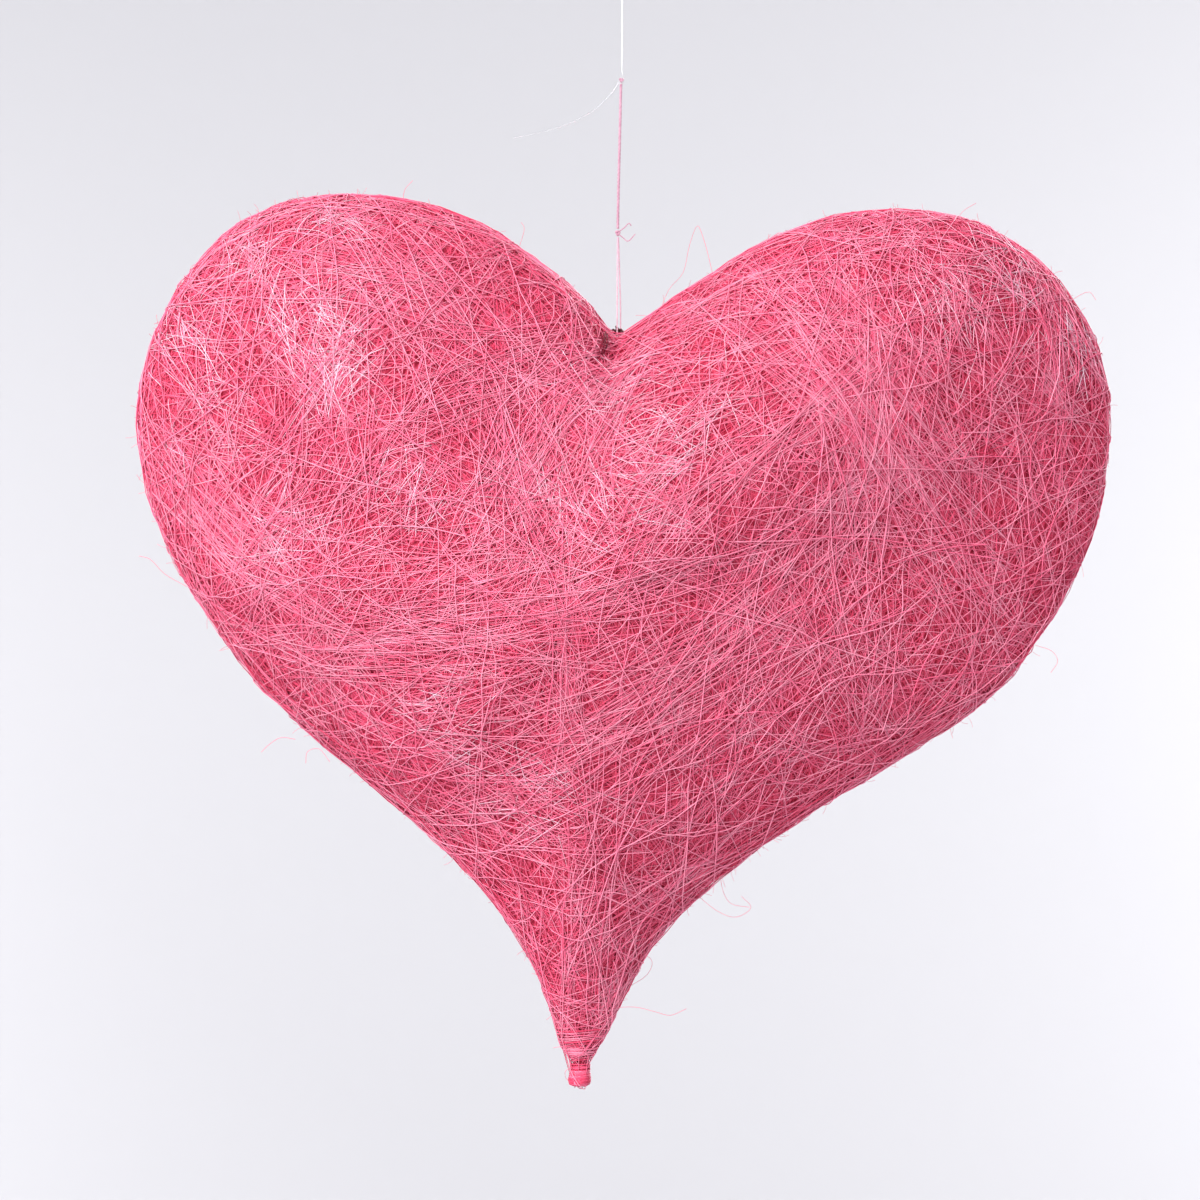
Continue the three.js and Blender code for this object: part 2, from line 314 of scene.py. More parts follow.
# Knots, each an overhand knot drawn tight, with its tails
threadKnot = {
    "centre": (-1.15, 0, -85.8),
    "size": (0.62, 0.55, 0.72),
    "tails": [
        [(-1.15, -0.3, -85.6), (0.9, -0.5, -84.2), (2.3, -0.7, -82.9), (3.0, -0.5, -83.6)],
        [(-1.15, -0.3, -86.0), (0.5, -0.4, -87.3), (1.95, -0.8, -88.4), (4.25, -1.0, -86.2)],
    ],
    "tailDiameter": 0.42,
    "tailPitch": 1.4,
    "rings": [{"radius": 0.3, "turned": 0.0}, {"radius": 0.26, "turned": 1.2}],
}
lineKnot = {"centre": (0, 0, -38.6), "size": (0.5, 0.5, 0.78), "threadSize": (0.58, 0.58, 0.5),
            "radius": 0.2, "threadRadius": 0.3, "rings": [0.9, 2.3]}
loopKnot = {"centre": (0, 0, -6.2), "size": (0.42, 0.42, 0.6), "radius": 0.17}


def knotPath(centre, size, turned=0.0, steps=48):
    path = []
    for i in range(steps):
        t = 2 * math.pi * i / steps
        across = (math.sin(t) + 2 * math.sin(2 * t)) / 3
        over = (math.cos(t) - 2 * math.cos(2 * t)) / 3
        through = -math.sin(3 * t) * 0.7
        point = Vector((across * size[0], through * size[1], over * size[2]))
        point.rotate(Matrix.Rotation(turned, 3, "Z"))
        path.append((Vector(centre) + point) * mm)
    return path


def knotMesh(name, centre, size, strandRadius, turned=0.0):
    path = knotPath(centre, size, turned)
    return strandMesh(name, [(path, [strandRadius * mm] * len(path), 0)], 8, cyclic=True)


def joined(name, *meshes):
    bm = bmesh.new()
    for mesh in meshes:
        bm.from_mesh(mesh)
    whole = bpy.data.meshes.new(name)
    bm.to_mesh(whole)
    bm.free()
    whole.shade_smooth()
    return whole


def addKnots():
    parts = [knotMesh("ring", threadKnot["centre"], threadKnot["size"], ring["radius"], ring["turned"])
             for ring in threadKnot["rings"]]
    diameter, pitch = threadKnot["tailDiameter"] * mm, threadKnot["tailPitch"] * mm
    for tail in threadKnot["tails"]:
        parts.append(twistedMesh("tail", smoothRoute(inMetres(tail), 8), diameter, pitch, 2))
    asPiece(linked("thread_knot_tied", joined("thread_knot_tied", *parts), rosePink), "thread", "thread_knot")
    ring = knotMesh("ring", lineKnot["centre"], lineKnot["threadSize"], lineKnot["threadRadius"])
    asPiece(linked("line_knot_thread", ring, rosePink), "thread")


# Clear nylon line
nylon = {
    "diameter": 0.35,
    "upper": [(0, 0, -37.325), (0.08, 0, -22.3), (0, 0, -7.28)],
    "tail": [(-1.05, 0, -39.5), (-2.6, -0.3, -42), (-5.1, -0.8, -44.8), (-8.6, -1.2, -48.1),
             (-11.4, -1.6, -49.8), (-16.3, -1.9, -52.3), (-21.8, -1.9, -54.1), (-27, -1.6, -55.4),
             (-33.2, -1, -56.6)],
    "upperStep": 1.0,
    "tailStep": 0.6,
    "loop": [(-0.16, 0, -6.2), (-0.91, 0, -4.39), (-1.3, 0, -2.59), (0, 0, -0.175), (1.3, 0, -2.59),
             (0.91, 0, -4.39), (0.16, 0, -6.2)],
}


def nylonMaterial():
    material, nodes, links, shader = newMaterial("clearNylon")
    shader.inputs["Base Color"].default_value = (0.96, 0.97, 1, 1)
    shader.inputs["Transmission Weight"].default_value = 0.85
    shader.inputs["Alpha"].default_value = 0.55
    shader.inputs["IOR"].default_value = 1.53
    streaks = objectNoise(nodes, links, 900, 2, stretch=(3, 3, 0.4))
    links.new(spread(nodes, links, streaks, 0.08, 0.22), shader.inputs["Roughness"])
    return material


clearNylon = nylonMaterial()


def roundCord(name, route, diameter):
    return strandMesh(name, [(route, [diameter / 2] * len(route), 0)], 10)


def addNylon():
    diameter = nylon["diameter"] * mm
    route = evenly(smoothRoute(inMetres(nylon["upper"]), 12), nylon["upperStep"] * mm)
    upper = linked("line_upper_nylon", roundCord("line_upper_nylon", route, diameter), clearNylon)
    asPiece(upper, "clear_line", "line_upper")
    route = evenly(smoothRoute(inMetres(nylon["tail"]), 10), nylon["tailStep"] * mm)
    tail = linked("line_tail_nylon", roundCord("line_tail_nylon", route, diameter), clearNylon)
    asPiece(tail, "clear_line", "line_tail")
    loop = smoothRoute(inMetres(nylon["loop"]), 10)
    loopMesh = joined("line_loop_nylon", roundCord("loop", loop, diameter),
                      knotMesh("ring", loopKnot["centre"], loopKnot["size"], loopKnot["radius"]))
    asPiece(linked("line_loop_nylon", loopMesh, clearNylon), "clear_line", "line_loop")
    rings = [knotMesh("ring", lineKnot["centre"], lineKnot["size"], lineKnot["radius"], turned)
             for turned in lineKnot["rings"]]
    knot = joined("line_knot_tied", *rings)
    asPiece(linked("line_knot_tied", knot, clearNylon), "clear_line", "line_knot")


addKnots()
addNylon()
addThread()
print("thread, line and knots tied")


# Wire end in the notch
wire = {
    "radius": 0.55,
    "coreRadius": 0.72,
    "pitch": 1.15,
    "turns": 2.6,
    "stepsPerTurn": 16,
    "centre": (-1.3, 0, -116.6),
    "from": [(-0.35, 0.9, -2.6), (-0.2, 0.95, -1.2)],   # off the first turn and the centre
    "to": [(-0.1, -0.5, 1.3), (-0.35, -0.35, 2.1)],     # off the centre
    "endShares": [0.9, 0.6],                            # of the radius, where it thins out
}


def wireMaterial():
    material, nodes, links, shader = newMaterial("stainedWire")
    stains = objectNoise(nodes, links, 1200, 4)
    colour = ramp(nodes, links, stains, [(0.35, (0.035, 0.008, 0.01)), (0.6, (0.14, 0.025, 0.035)),
                                         (0.75, (0.32, 0.07, 0.1))])
    links.new(colour, shader.inputs["Base Color"])
    links.new(spread(nodes, links, stains, 0.35, 0.65), shader.inputs["Roughness"])
    shader.inputs["Metallic"].default_value = 0.6
    bumped(nodes, links, shader, objectNoise(nodes, links, 5000, 3), 0.04 * mm, 0.5)
    return material


def addWire():
    x, y, z = wire["centre"]
    start = -wire["turns"] * wire["pitch"] / 2
    path = [(x + start + aside, y + behind, z + up) for aside, behind, up in wire["from"]]
    for i in range(round(wire["turns"] * wire["stepsPerTurn"]) + 1):
        angle = 2 * math.pi * i / wire["stepsPerTurn"]
        along, reach = wire["pitch"] * angle / (2 * math.pi), wire["coreRadius"]
        path.append((x + start + along, y + reach * math.cos(angle), z + reach * math.sin(angle)))
    radii = [wire["radius"] * mm] * len(path) + [wire["radius"] * mm * share for share in wire["endShares"]]
    path += [(x + aside, y + behind, z + up) for aside, behind, up in wire["to"]]
    mesh = strandMesh("wire_twist_wound", [(inMetres(path), radii, 0)], 10)
    asPiece(linked("wire_twist_wound", mesh, wireMaterial()), "wire", "wire_twist")


addWire()
print("wire wound")


# Sisal: the colour of one fibre, and how dull or shiny it is. The palest dye, laid only in the glint patches
# below, paints their highlight
dyes = [
    # Dark crimson, laid most in the inner layers: partly the fibres' own red, partly painted shade of the
    # depths
    {"name": "crimson", "deep": (0.76, 0.06, 0.14), "pale": (0.88, 0.1, 0.205), "rough": 0.6, "gloss": 0.2},
    {"name": "rose", "deep": (0.88, 0.12, 0.235), "pale": (0.95, 0.19, 0.33), "rough": 0.5, "gloss": 0.4},
    {"name": "bright", "deep": (0.93, 0.2, 0.34), "pale": (0.97, 0.32, 0.455), "rough": 0.42, "gloss": 0.6},
    # A pale pink that paints the highlight of fibres lying flat to the light
    {"name": "paintedglint", "deep": (0.96, 0.46, 0.6), "pale": (0.98, 0.66, 0.79), "rough": 0.35, "gloss": 1.0},
    # Near-black, only for the fibres that paint the shadow in the gap beside the wire
    {"name": "paintedshadow", "deep": (0.12, 0.008, 0.018), "pale": (0.24, 0.016, 0.04), "rough": 0.6, "gloss": 0.1},
]


def sisalMaterial(dye):
    material, nodes, links, shader = newMaterial("sisal" + dye["name"].capitalize())
    patches = objectNoise(nodes, links, 110, 2)
    colour = ramp(nodes, links, patches, [(0.3, dye["deep"]), (0.7, dye["pale"])])
    links.new(colour, shader.inputs["Base Color"])
    grain = objectNoise(nodes, links, 2200, 0)
    roughness = spread(nodes, links, grain, dye["rough"] - 0.08, dye["rough"] + 0.08)
    links.new(roughness, shader.inputs["Roughness"])
    shader.inputs["Specular IOR Level"].default_value = dye["gloss"]
    return material


# Fine streaks that cross at three angles, in degrees
matStreaks = {"turns": (12, 74, 131), "stretch": (1300, 1300, 70)}


def matMaterial():
    material, nodes, links, shader = newMaterial("sisalMat")
    laid = None
    for turn in matStreaks["turns"]:
        streaks = objectNoise(nodes, links, 1, 1, stretch=matStreaks["stretch"], turn=(0, turn, 0))
        if laid is None:
            laid = streaks
            continue
        over = nodes.new("ShaderNodeMath")
        over.operation = "MAXIMUM"
        links.new(laid, over.inputs[0])
        links.new(streaks, over.inputs[1])
        laid = over.outputs["Value"]
    # The near-black red between the streaks is painted shade of the gaps between fibres; the streaks are the
    # fibres' own pinks
    colour = ramp(nodes, links, laid, [(0.5, (0.32, 0.012, 0.035)), (0.61, (0.66, 0.055, 0.12)),
                                       (0.72, (0.88, 0.15, 0.25))])
    links.new(colour, shader.inputs["Base Color"])
    links.new(spread(nodes, links, laid, 0.8, 0.6), shader.inputs["Roughness"])
    shader.inputs["Specular IOR Level"].default_value = 0.15
    bumped(nodes, links, shader, laid, 0.5 * mm, 0.8)
    return material


sisal = [sisalMaterial(dye) for dye in dyes]

# The skin that the fibres are laid on: the frame's heart, smoothed and a little lumpy, most of all at the rim
skinShape = {"lumps": 0.45 * mm, "lumpSize": 11 * mm, "rimLumps": 0.8 * mm, "rimLumpSize": 8 * mm,
             "rimWidth": 9 * mm, "matDepth": 1.2 * mm, "matLumps": 0.35 * mm, "matLumpSize": 4 * mm}


def smoothSkin():
    bm = bmesh.new()
    bm.from_mesh(cadHeart.data)
    bmesh.ops.remove_doubles(bm, verts=bm.verts, dist=0.001 * mm)
    merged = bpy.data.meshes.new("skin")
    bm.to_mesh(merged)
    bm.free()
    carrier = linked("skin", merged)
    rounding = carrier.modifiers.new("rounding", "SUBSURF")
    rounding.levels = rounding.render_levels = 1
    bpy.context.view_layer.update()
    mesh = bpy.data.meshes.new_from_object(carrier.evaluated_get(bpy.context.evaluated_depsgraph_get()))
    bpy.data.objects.remove(carrier)
    skin = bmesh.new()
    skin.from_mesh(mesh)
    skin.normal_update()
    for vert in skin.verts:
        lump = noise.noise(vert.co / skinShape["lumpSize"]) * skinShape["lumps"]
        nearRim = max(0, 1 - abs(vert.co.y) / skinShape["rimWidth"])
        lump += nearRim * noise.noise(vert.co / skinShape["rimLumpSize"]) * skinShape["rimLumps"]
        vert.co += vert.normal * lump
    skin.normal_update()
    skin.faces.ensure_lookup_table()
    return skin


# Share of the frame's girth at heights near the tip, in mm: pulled in at the neck and full at the knob
tipGirth = [(-336, 1), (-338.5, 0.9), (-340, 0.76), (-342.5, 0.84), (-345, 0.97), (-347, 1.05), (-349, 1.14)]
tipAxis = -11.9


def girthAt(height):
    for (above, wide), (below, narrow) in zip(tipGirth, tipGirth[1:]):
        if height > below:
            return wide + (narrow - wide) * min(1, max(0, (above - height) / (above - below)))
    return tipGirth[-1][1]


def shapeTip(skin):
    for vert in skin.verts:
        share = girthAt(vert.co.z / mm)
        vert.co.x = tipAxis * mm + (vert.co.x - tipAxis * mm) * share
        vert.co.y *= share


skin = smoothSkin()
shapeTip(skin)
skin.normal_update()
skinTree = BVHTree.FromBMesh(skin)


# The mat: a deep red sheet under the fibres, whose dark seen through the gaps is partly painted shade
def addMat():
    bm = skin.copy()
    bm.normal_update()
    for vert in bm.verts:
        lump = noise.noise(vert.co / skinShape["matLumpSize"]) * skinShape["matLumps"]
        vert.co += vert.normal * (lump - skinShape["matDepth"])
    mesh = bpy.data.meshes.new("sisal_mat")
    bm.to_mesh(mesh)
    bm.free()
    mesh.shade_smooth()
    asPiece(linked("sisal_mat", mesh, matMaterial()), "sisal", "sisal_heart")


addMat()
print("mat laid")


# Fibres laid on the skin
laying = {
    "longStep": 10 * mm,
    "shortStep": 1.8 * mm,
    "shortEnough": 1.5,      # times shortStep, below which a step isn't halved again
    "stuck": 0.2,            # times shortStep, below which a walk ends
    "turnPerStep": 0.3,      # radians
    "flatEnough": math.cos(math.radians(21)),
    "frontShare": 1.25,      # how much likelier the front is than the back
    "phase": (0, 6.28),      # radians
    "waves": (0.5, 1.3),     # radians per longStep, up and down
    "sideWaves": 1.8,        # times as many from side to side
    "endDip": 0.5,           # mm
    "endShare": 0.35,        # of the radius
    "startShare": (0.35, 0.65),
    "farOutside": 0.4,       # m
}


# Half a fibre from a point of the skin. Steps are short where the skin or the fibre turns
def walk(here, heading, length, bend):
    here, normal, _, _ = skinTree.find_nearest(here)
    heading = (heading - normal * heading.dot(normal)).normalized()
    longest = min(laying["longStep"], laying["turnPerStep"] / max(abs(bend), 1))
    path, gone = [(here, normal)], 0.0
    while gone < length:
        step = min(longest, max(length - gone, laying["shortStep"]))
        while True:
            there, turned, _, _ = skinTree.find_nearest(here + heading * step)
            flat = turned.dot(normal) > laying["flatEnough"]
            if flat or step < laying["shortEnough"] * laying["shortStep"]:
                break
            step *= 0.5
        moved = there - here
        distance = moved.length
        if distance < laying["stuck"] * laying["shortStep"]:
            break
        moved.normalize()
        heading = moved + turned.cross(moved) * bend * distance
        heading = (heading - turned * heading.dot(turned)).normalized()
        here, normal = there, turned
        path.append((here, normal))
        gone += distance
    return path


# A wavy strand from (point, normal) pairs, lifted off the skin, thinner at its ends, which dip into the mat
def strandOn(rng, path, layer):
    radius = rng.uniform(*layer["radius"]) * mm
    phase = rng.uniform(*laying["phase"])
    wave = rng.uniform(*laying["waves"])
    points, radii = [], []
    last, gone = len(path) - 1, 0.0
    for i, (point, normal) in enumerate(path):
        atEnd = i in (0, last)
        gone += (point - path[max(i - 1, 0)][0]).length / laying["longStep"]
        dip = laying["endDip"] if atEnd else 0
        height = layer["lift"] + layer["sway"] * math.sin(phase + wave * gone) - dip
        beside = normal.cross(path[min(i + 1, last)][0] - path[max(i - 1, 0)][0]).normalized()
        aside = layer["wander"] * math.sin(2 * phase + laying["sideWaves"] * wave * gone)
        points.append(point + (normal * height + beside * aside) * mm)
        radii.append(radius * (laying["endShare"] if atEnd else 1))
    return points, radii, rng.choices(range(len(layer["mix"])), weights=layer["mix"])[0]


# A whole fibre through a point
def fibre(rng, here, heading, length, bend, layer):
    share = rng.uniform(*laying["startShare"])
    ahead = walk(here, heading, length * share, bend)
    behind = walk(here, -heading, length * (1 - share), -bend)
    return strandOn(rng, behind[::-1] + ahead[1:], layer)


def faceWeights():
    total, sums = 0.0, []
    for face in skin.faces:
        total += face.calc_area() * (laying["frontShare"] if face.normal.y < 0 else 1)
        sums.append(total)
    return sums


weights = faceWeights()


def somewhere(rng):
    face = rng.choices(skin.faces, cum_weights=weights)[0]
    shares = [rng.expovariate(1) for _ in face.verts]
    spot = sum((vert.co * share for vert, share in zip(face.verts, shares)), Vector()) / sum(shares)
    return spot, face.normal


def anyHeading(rng, normal):
    heading = Vector([rng.gauss(0, 1) for _ in range(3)])
    return (heading - normal * heading.dot(normal)).normalized()


# The skin behind x, z of the rim's plane, in mm, as the camera sees it
def seenAt(x, z):
    eye = bpy.context.scene.camera.location
    spot = Vector((x, 0, z)) * mm
    here, normal, _, _ = skinTree.ray_cast(eye, (spot - eye).normalized())
    if here is None:
        here, normal, _, _ = skinTree.find_nearest(spot)
    return here, normal


# Layers from the inside out, in mm. swaths is how many groups of near-parallel fibres one has, each how many
# are in a group, loose how many long fibres lie alone and curly how many short ones. laid is its share of
# the swaths laid in the places below, and mix the share of each dye
# The deeper a layer lies, the larger its share of the darker dyes: partly painted shade of the depths between
# fibres
layers = [
    {"name": "sisal_inner", "swaths": 45, "each": 22, "loose": 750, "curly": 700, "laid": 0,
     "lift": -0.85, "sway": 0.15, "wander": 0.4, "radius": (0.13, 0.18), "mix": (9, 1)},
    {"name": "sisal_lower", "swaths": 40, "each": 18, "loose": 800, "curly": 1200, "laid": 0,
     "lift": -0.55, "sway": 0.18, "wander": 0.5, "radius": (0.12, 0.17), "mix": (6, 4)},
    {"name": "sisal_middle", "swaths": 25, "each": 12, "loose": 760, "curly": 1250, "laid": 0.35,
     "lift": -0.25, "sway": 0.2, "wander": 0.6, "radius": (0.11, 0.17), "mix": (2, 6, 2)},
    {"name": "sisal_upper", "swaths": 20, "each": 8, "loose": 800, "curly": 950, "laid": 0.25,
     "lift": 0.05, "sway": 0.25, "wander": 0.7, "radius": (0.11, 0.17), "mix": (0, 4, 6)},
    {"name": "sisal_outer", "swaths": 10, "each": 4, "loose": 560, "curly": 220, "laid": 0.12,
     "lift": 0.4, "sway": 0.3, "wander": 0.7, "radius": (0.13, 0.19), "mix": (0, 2, 8)},
]

# Lengths in mm and bends in radians per metre of what is strewn without a place
strewn = {"swathWidth": (3, 9), "swathLength": (60, 110), "swathBend": 5, "looseLength": (45, 120),
          "looseBend": 12, "curlyLength": (15, 40), "curlyBend": 35}

# How a swath's fibres differ
uneven = {"along": 0.15, "heading": 0.15, "reach": (0.7, 1.2), "bend": 1.5}

# Swaths that the front shows, in mm of the rim's plane. bend is positive where one curls up on its way right
laidSwaths = [
    # left of the notch
    {"from": (-6, -116), "to": (-68, -152), "bend": 2, "count": 44, "width": 5},
    {"from": (-8, -112), "to": (-56, -139), "bend": -3, "count": 30, "width": 4},
    {"from": (-3, -122), "to": (-35, -166), "bend": 0, "count": 34, "width": 4},
    {"from": (-5, -122), "to": (-47, -187), "bend": -2, "count": 34, "width": 5},
    {"from": (-33, -124), "to": (-38, -174), "bend": 3, "count": 26, "width": 5},
    {"from": (-43, -130), "to": (-25, -187), "bend": 4, "count": 34, "width": 6},
    {"from": (-31, -94), "to": (-12, -106), "bend": -12, "count": 20, "width": 3},
    {"from": (-81, -80), "to": (-47, -116), "bend": 0, "count": 30, "width": 8},
    # down the valley
    {"from": (-1, -126), "to": (-8, -168), "bend": 0, "count": 46, "width": 4},
    {"from": (1, -124), "to": (24, -122), "bend": 0, "count": 24, "width": 5},
    # right lobe
    {"from": (9, -112), "to": (55, -102), "bend": -10, "count": 16, "width": 2.5},
    {"from": (3, -120), "to": (30, -113), "bend": -8, "count": 14, "width": 2},
    {"from": (35, -101), "to": (95, -168), "bend": 1, "count": 44, "width": 6},
    {"from": (49, -116), "to": (117, -187), "bend": 0, "count": 40, "width": 6},
    {"from": (80, -117), "to": (88, -159), "bend": 4, "count": 26, "width": 3},
    {"from": (63, -97), "to": (82, -120), "bend": -4, "count": 24, "width": 3},
    {"from": (81, -119), "to": (107, -160), "bend": 0, "count": 34, "width": 5},
    {"from": (81, -120), "to": (70, -199), "bend": 2, "count": 36, "width": 6},
    {"from": (123, -124), "to": (147, -147), "bend": 0, "count": 14, "width": 2},
    {"from": (117, -154), "to": (143, -138), "bend": 0, "count": 12, "width": 2},
    {"from": (132, -96), "to": (135, -137), "bend": 0, "count": 22, "width": 4},
    # along the crest
    {"from": (80, -120), "to": (6, -187), "bend": 0, "count": 46, "width": 4},
    {"from": (61, -80), "to": (70, -116), "bend": 3, "count": 20, "width": 5},
    # left rib
    {"from": (-141, -164), "to": (-85, -202), "bend": 5, "count": 40, "width": 7},
    {"from": (-146, -147), "to": (-105, -187), "bend": 3, "count": 26, "width": 5},
    {"from": (-113, -214), "to": (-73, -178), "bend": -2, "count": 30, "width": 7},
    {"from": (-127, -199), "to": (-99, -159), "bend": 0, "count": 22, "width": 6},
    # band to the nose
    {"from": (-118, -216), "to": (-56, -210), "bend": 3, "count": 34, "width": 5},
    {"from": (-90, -214), "to": (-38, -211), "bend": 2, "count": 36, "width": 6},
    {"from": (-68, -202), "to": (-17, -176), "bend": 13, "count": 48, "width": 6},
    {"from": (-74, -211), "to": (6, -197), "bend": 3, "count": 56, "width": 4},
    {"from": (-19, -200), "to": (43, -190), "bend": -1, "count": 30, "width": 3},
    # below the nose
    {"from": (-15, -179), "to": (-17, -252), "bend": 0, "count": 30, "width": 2.5},
    {"from": (-74, -236), "to": (-17, -220), "bend": 4, "count": 26, "width": 6},
    {"from": (-44, -258), "to": (24, -216), "bend": 0, "count": 40, "width": 9},
    {"from": (-25, -261), "to": (55, -211), "bend": 0, "count": 46, "width": 9},
    {"from": (12, -221), "to": (74, -181), "bend": 2, "count": 40, "width": 8},
    {"from": (6, -279), "to": (55, -242), "bend": 0, "count": 28, "width": 7},
    {"from": (52, -185), "to": (88, -244), "bend": 1, "count": 38, "width": 8},
    {"from": (86, -160), "to": (117, -211), "bend": 0, "count": 36, "width": 8},
    # towards the tip
    {"from": (-60, -270), "to": (-19, -329), "bend": -3, "count": 26, "width": 4},
    {"from": (-59, -270), "to": (-7, -269), "bend": 0, "count": 18, "width": 5},
    {"from": (-7, -261), "to": (-9, -335), "bend": 0, "count": 30, "width": 5},
    {"from": (-19, -286), "to": (-10, -335), "bend": 0, "count": 26, "width": 4},
    {"from": (24, -292), "to": (-7, -335), "bend": 4, "count": 24, "width": 3},
    # left lobe
    {"from": (-107, -147), "to": (-65, -93), "bend": 0, "count": 34, "width": 4},
    {"from": (-112, -117), "to": (-85, -140), "bend": 0, "count": 30, "width": 6},
    {"from": (-99, -86), "to": (-47, -106), "bend": -3, "count": 34, "width": 6},
]

# Near-black fibres in the gap beside the wire: painted shadow of the gap
notchPaintedShadow = {"layer": "sisal_outer", "from": (-8, -123), "to": (-3, -117), "bend": 0, "count": 9,
            "width": 0.45, "lift": 0.7, "mix": (0, 0, 0, 0, 1)}

# Patches of short shiny fibres on the front, where they lie flat to the light: their pale dyes are a painted
# highlight
paintedGlintSpots = [
    {"at": (-135, -116), "heading": -40}, {"at": (-129, -149), "heading": -35},
    {"at": (-119, -91), "heading": 30}, {"at": (-100, -114), "heading": -50},
    {"at": (-90, -129), "heading": 60}, {"at": (-86, -116), "heading": -45},
    {"at": (-88, -81), "heading": 20}, {"at": (-65, -165), "heading": 45},
    {"at": (-104, -178), "heading": 20}, {"at": (-19, -165), "heading": -70},
    {"at": (6, -170), "heading": 10}, {"at": (10, -153), "heading": 0},
    {"at": (21, -145), "heading": 50}, {"at": (1, -133), "heading": 5},
    {"at": (104, -107), "heading": -70}, {"at": (121, -96), "heading": 20},
    {"at": (143, -120), "heading": -60}, {"at": (-56, -235), "heading": 10},
    {"at": (-24, -258), "heading": 10},
]
paintedGlintPatch = {"layer": "sisal_upper", "count": 52, "size": 7.5, "length": (6, 19), "spread": 36,
          "bend": 32, "radius": (0.1, 0.14), "mix": (0, 0, 4, 5)}


def headingAt(normal, x, z):
    heading = Vector((x, 0, z))
    return (heading - normal * heading.dot(normal)).normalized()


def swath(rng, centre, normal, heading, count, width, length, bend, layer):
    across = normal.cross(heading)
    strands = []
    for _ in range(count):
        here = centre + across * rng.gauss(0, width) + heading * rng.gauss(0, length * uneven["along"])
        ahead = heading + across * rng.gauss(0, uneven["heading"])
        reach = length * rng.uniform(*uneven["reach"])
        strands.append(fibre(rng, here, ahead, reach, bend + rng.gauss(0, uneven["bend"]), layer))
    return strands


def laidSwath(rng, place, layer, share):
    (startX, startZ), (endX, endZ) = sorted((place["from"], place["to"]))
    alongX, alongZ = endX - startX, endZ - startZ
    length = math.hypot(alongX, alongZ)
    rise = place["bend"] * mm * length / 8   # the middle lies this share of the length off the straight line
    centre, normal = seenAt((startX + endX) / 2 + alongZ * rise, (startZ + endZ) / 2 - alongX * rise)
    heading = headingAt(normal, alongX, alongZ)
    count = round(place["count"] * share)
    return swath(rng, centre, normal, heading, count, place["width"] * mm, length * mm, place["bend"], layer)


# Pale fibres strewn round one spot, a painted highlight
def layPaintedGlintPatch(rng, place, layer):
    centre, normal = seenAt(*place["at"])
    strands = []
    for _ in range(paintedGlintPatch["count"]):
        here = centre + Vector([rng.gauss(0, paintedGlintPatch["size"]) for _ in range(3)]) * mm
        angle = math.radians(place["heading"] + rng.gauss(0, paintedGlintPatch["spread"]))
        heading = headingAt(normal, math.cos(angle), math.sin(angle))
        length = rng.uniform(*paintedGlintPatch["length"]) * mm
        finer = {**layer, "radius": paintedGlintPatch["radius"], "mix": paintedGlintPatch["mix"]}
        strands.append(fibre(rng, here, heading, length, rng.gauss(0, paintedGlintPatch["bend"]), finer))
    return strands


def addStrands(name, strands):
    mesh = strandMesh(name, strands, 3, sisal)
    asPiece(linked(name, mesh), "sisal")
    triangles = sum(len(face.vertices) - 2 for face in mesh.polygons)
    print(name, len(strands), "fibres,", triangles, "triangles")


def addLayer(rng, layer):
    strands = []
    for _ in range(layer["swaths"]):
        centre, normal = somewhere(rng)
        heading = anyHeading(rng, normal)
        strands += swath(rng, centre, normal, heading, layer["each"], rng.uniform(*strewn["swathWidth"]) * mm,
                         rng.uniform(*strewn["swathLength"]) * mm, rng.gauss(0, strewn["swathBend"]), layer)
    for kind in ("loose", "curly"):
        for _ in range(layer[kind]):
            centre, normal = somewhere(rng)
            heading = anyHeading(rng, normal)
            length = rng.uniform(*strewn[kind + "Length"]) * mm
            strands.append(fibre(rng, centre, heading, length, rng.gauss(0, strewn[kind + "Bend"]), layer))
    if layer["laid"]:
        for place in laidSwaths:
            strands += laidSwath(rng, place, layer, layer["laid"])
    # The near-black fibres that paint the shadow in the notch gap
    if layer["name"] == notchPaintedShadow["layer"]:
        strands += laidSwath(rng, notchPaintedShadow, {**layer, "lift": notchPaintedShadow["lift"], "mix": notchPaintedShadow["mix"]}, 1)
    # Glint patches: pale fibres that paint the highlight where fibres lie flat to the light
    if layer["name"] == paintedGlintPatch["layer"]:
        for place in paintedGlintSpots:
            strands += layPaintedGlintPatch(rng, place, layer)
    addStrands(layer["name"], strands)


rng = random.Random(11)
for layer in layers:
    addLayer(rng, layer)

# Fibres that run along the rim, in mm
rim = {"count": 260, "length": (25, 80), "offRim": 6, "drift": 5, "step": 5, "lift": 0.1, "sway": 0.3,
       "wander": 0.4, "radius": (0.13, 0.2), "mix": (5, 6, 1)}


# The skin at an angle round the middle of the heart, y off the rim's plane
def rimPoint(angle, y):
    middle = Vector(((heartLow[0] + heartHigh[0]) / 2, y, (heartLow[2] + heartHigh[2]) / 2))
    outward = Vector((math.cos(angle), 0, math.sin(angle)))
    here, normal, _, _ = skinTree.ray_cast(middle + outward * laying["farOutside"], -outward)
    return here, normal


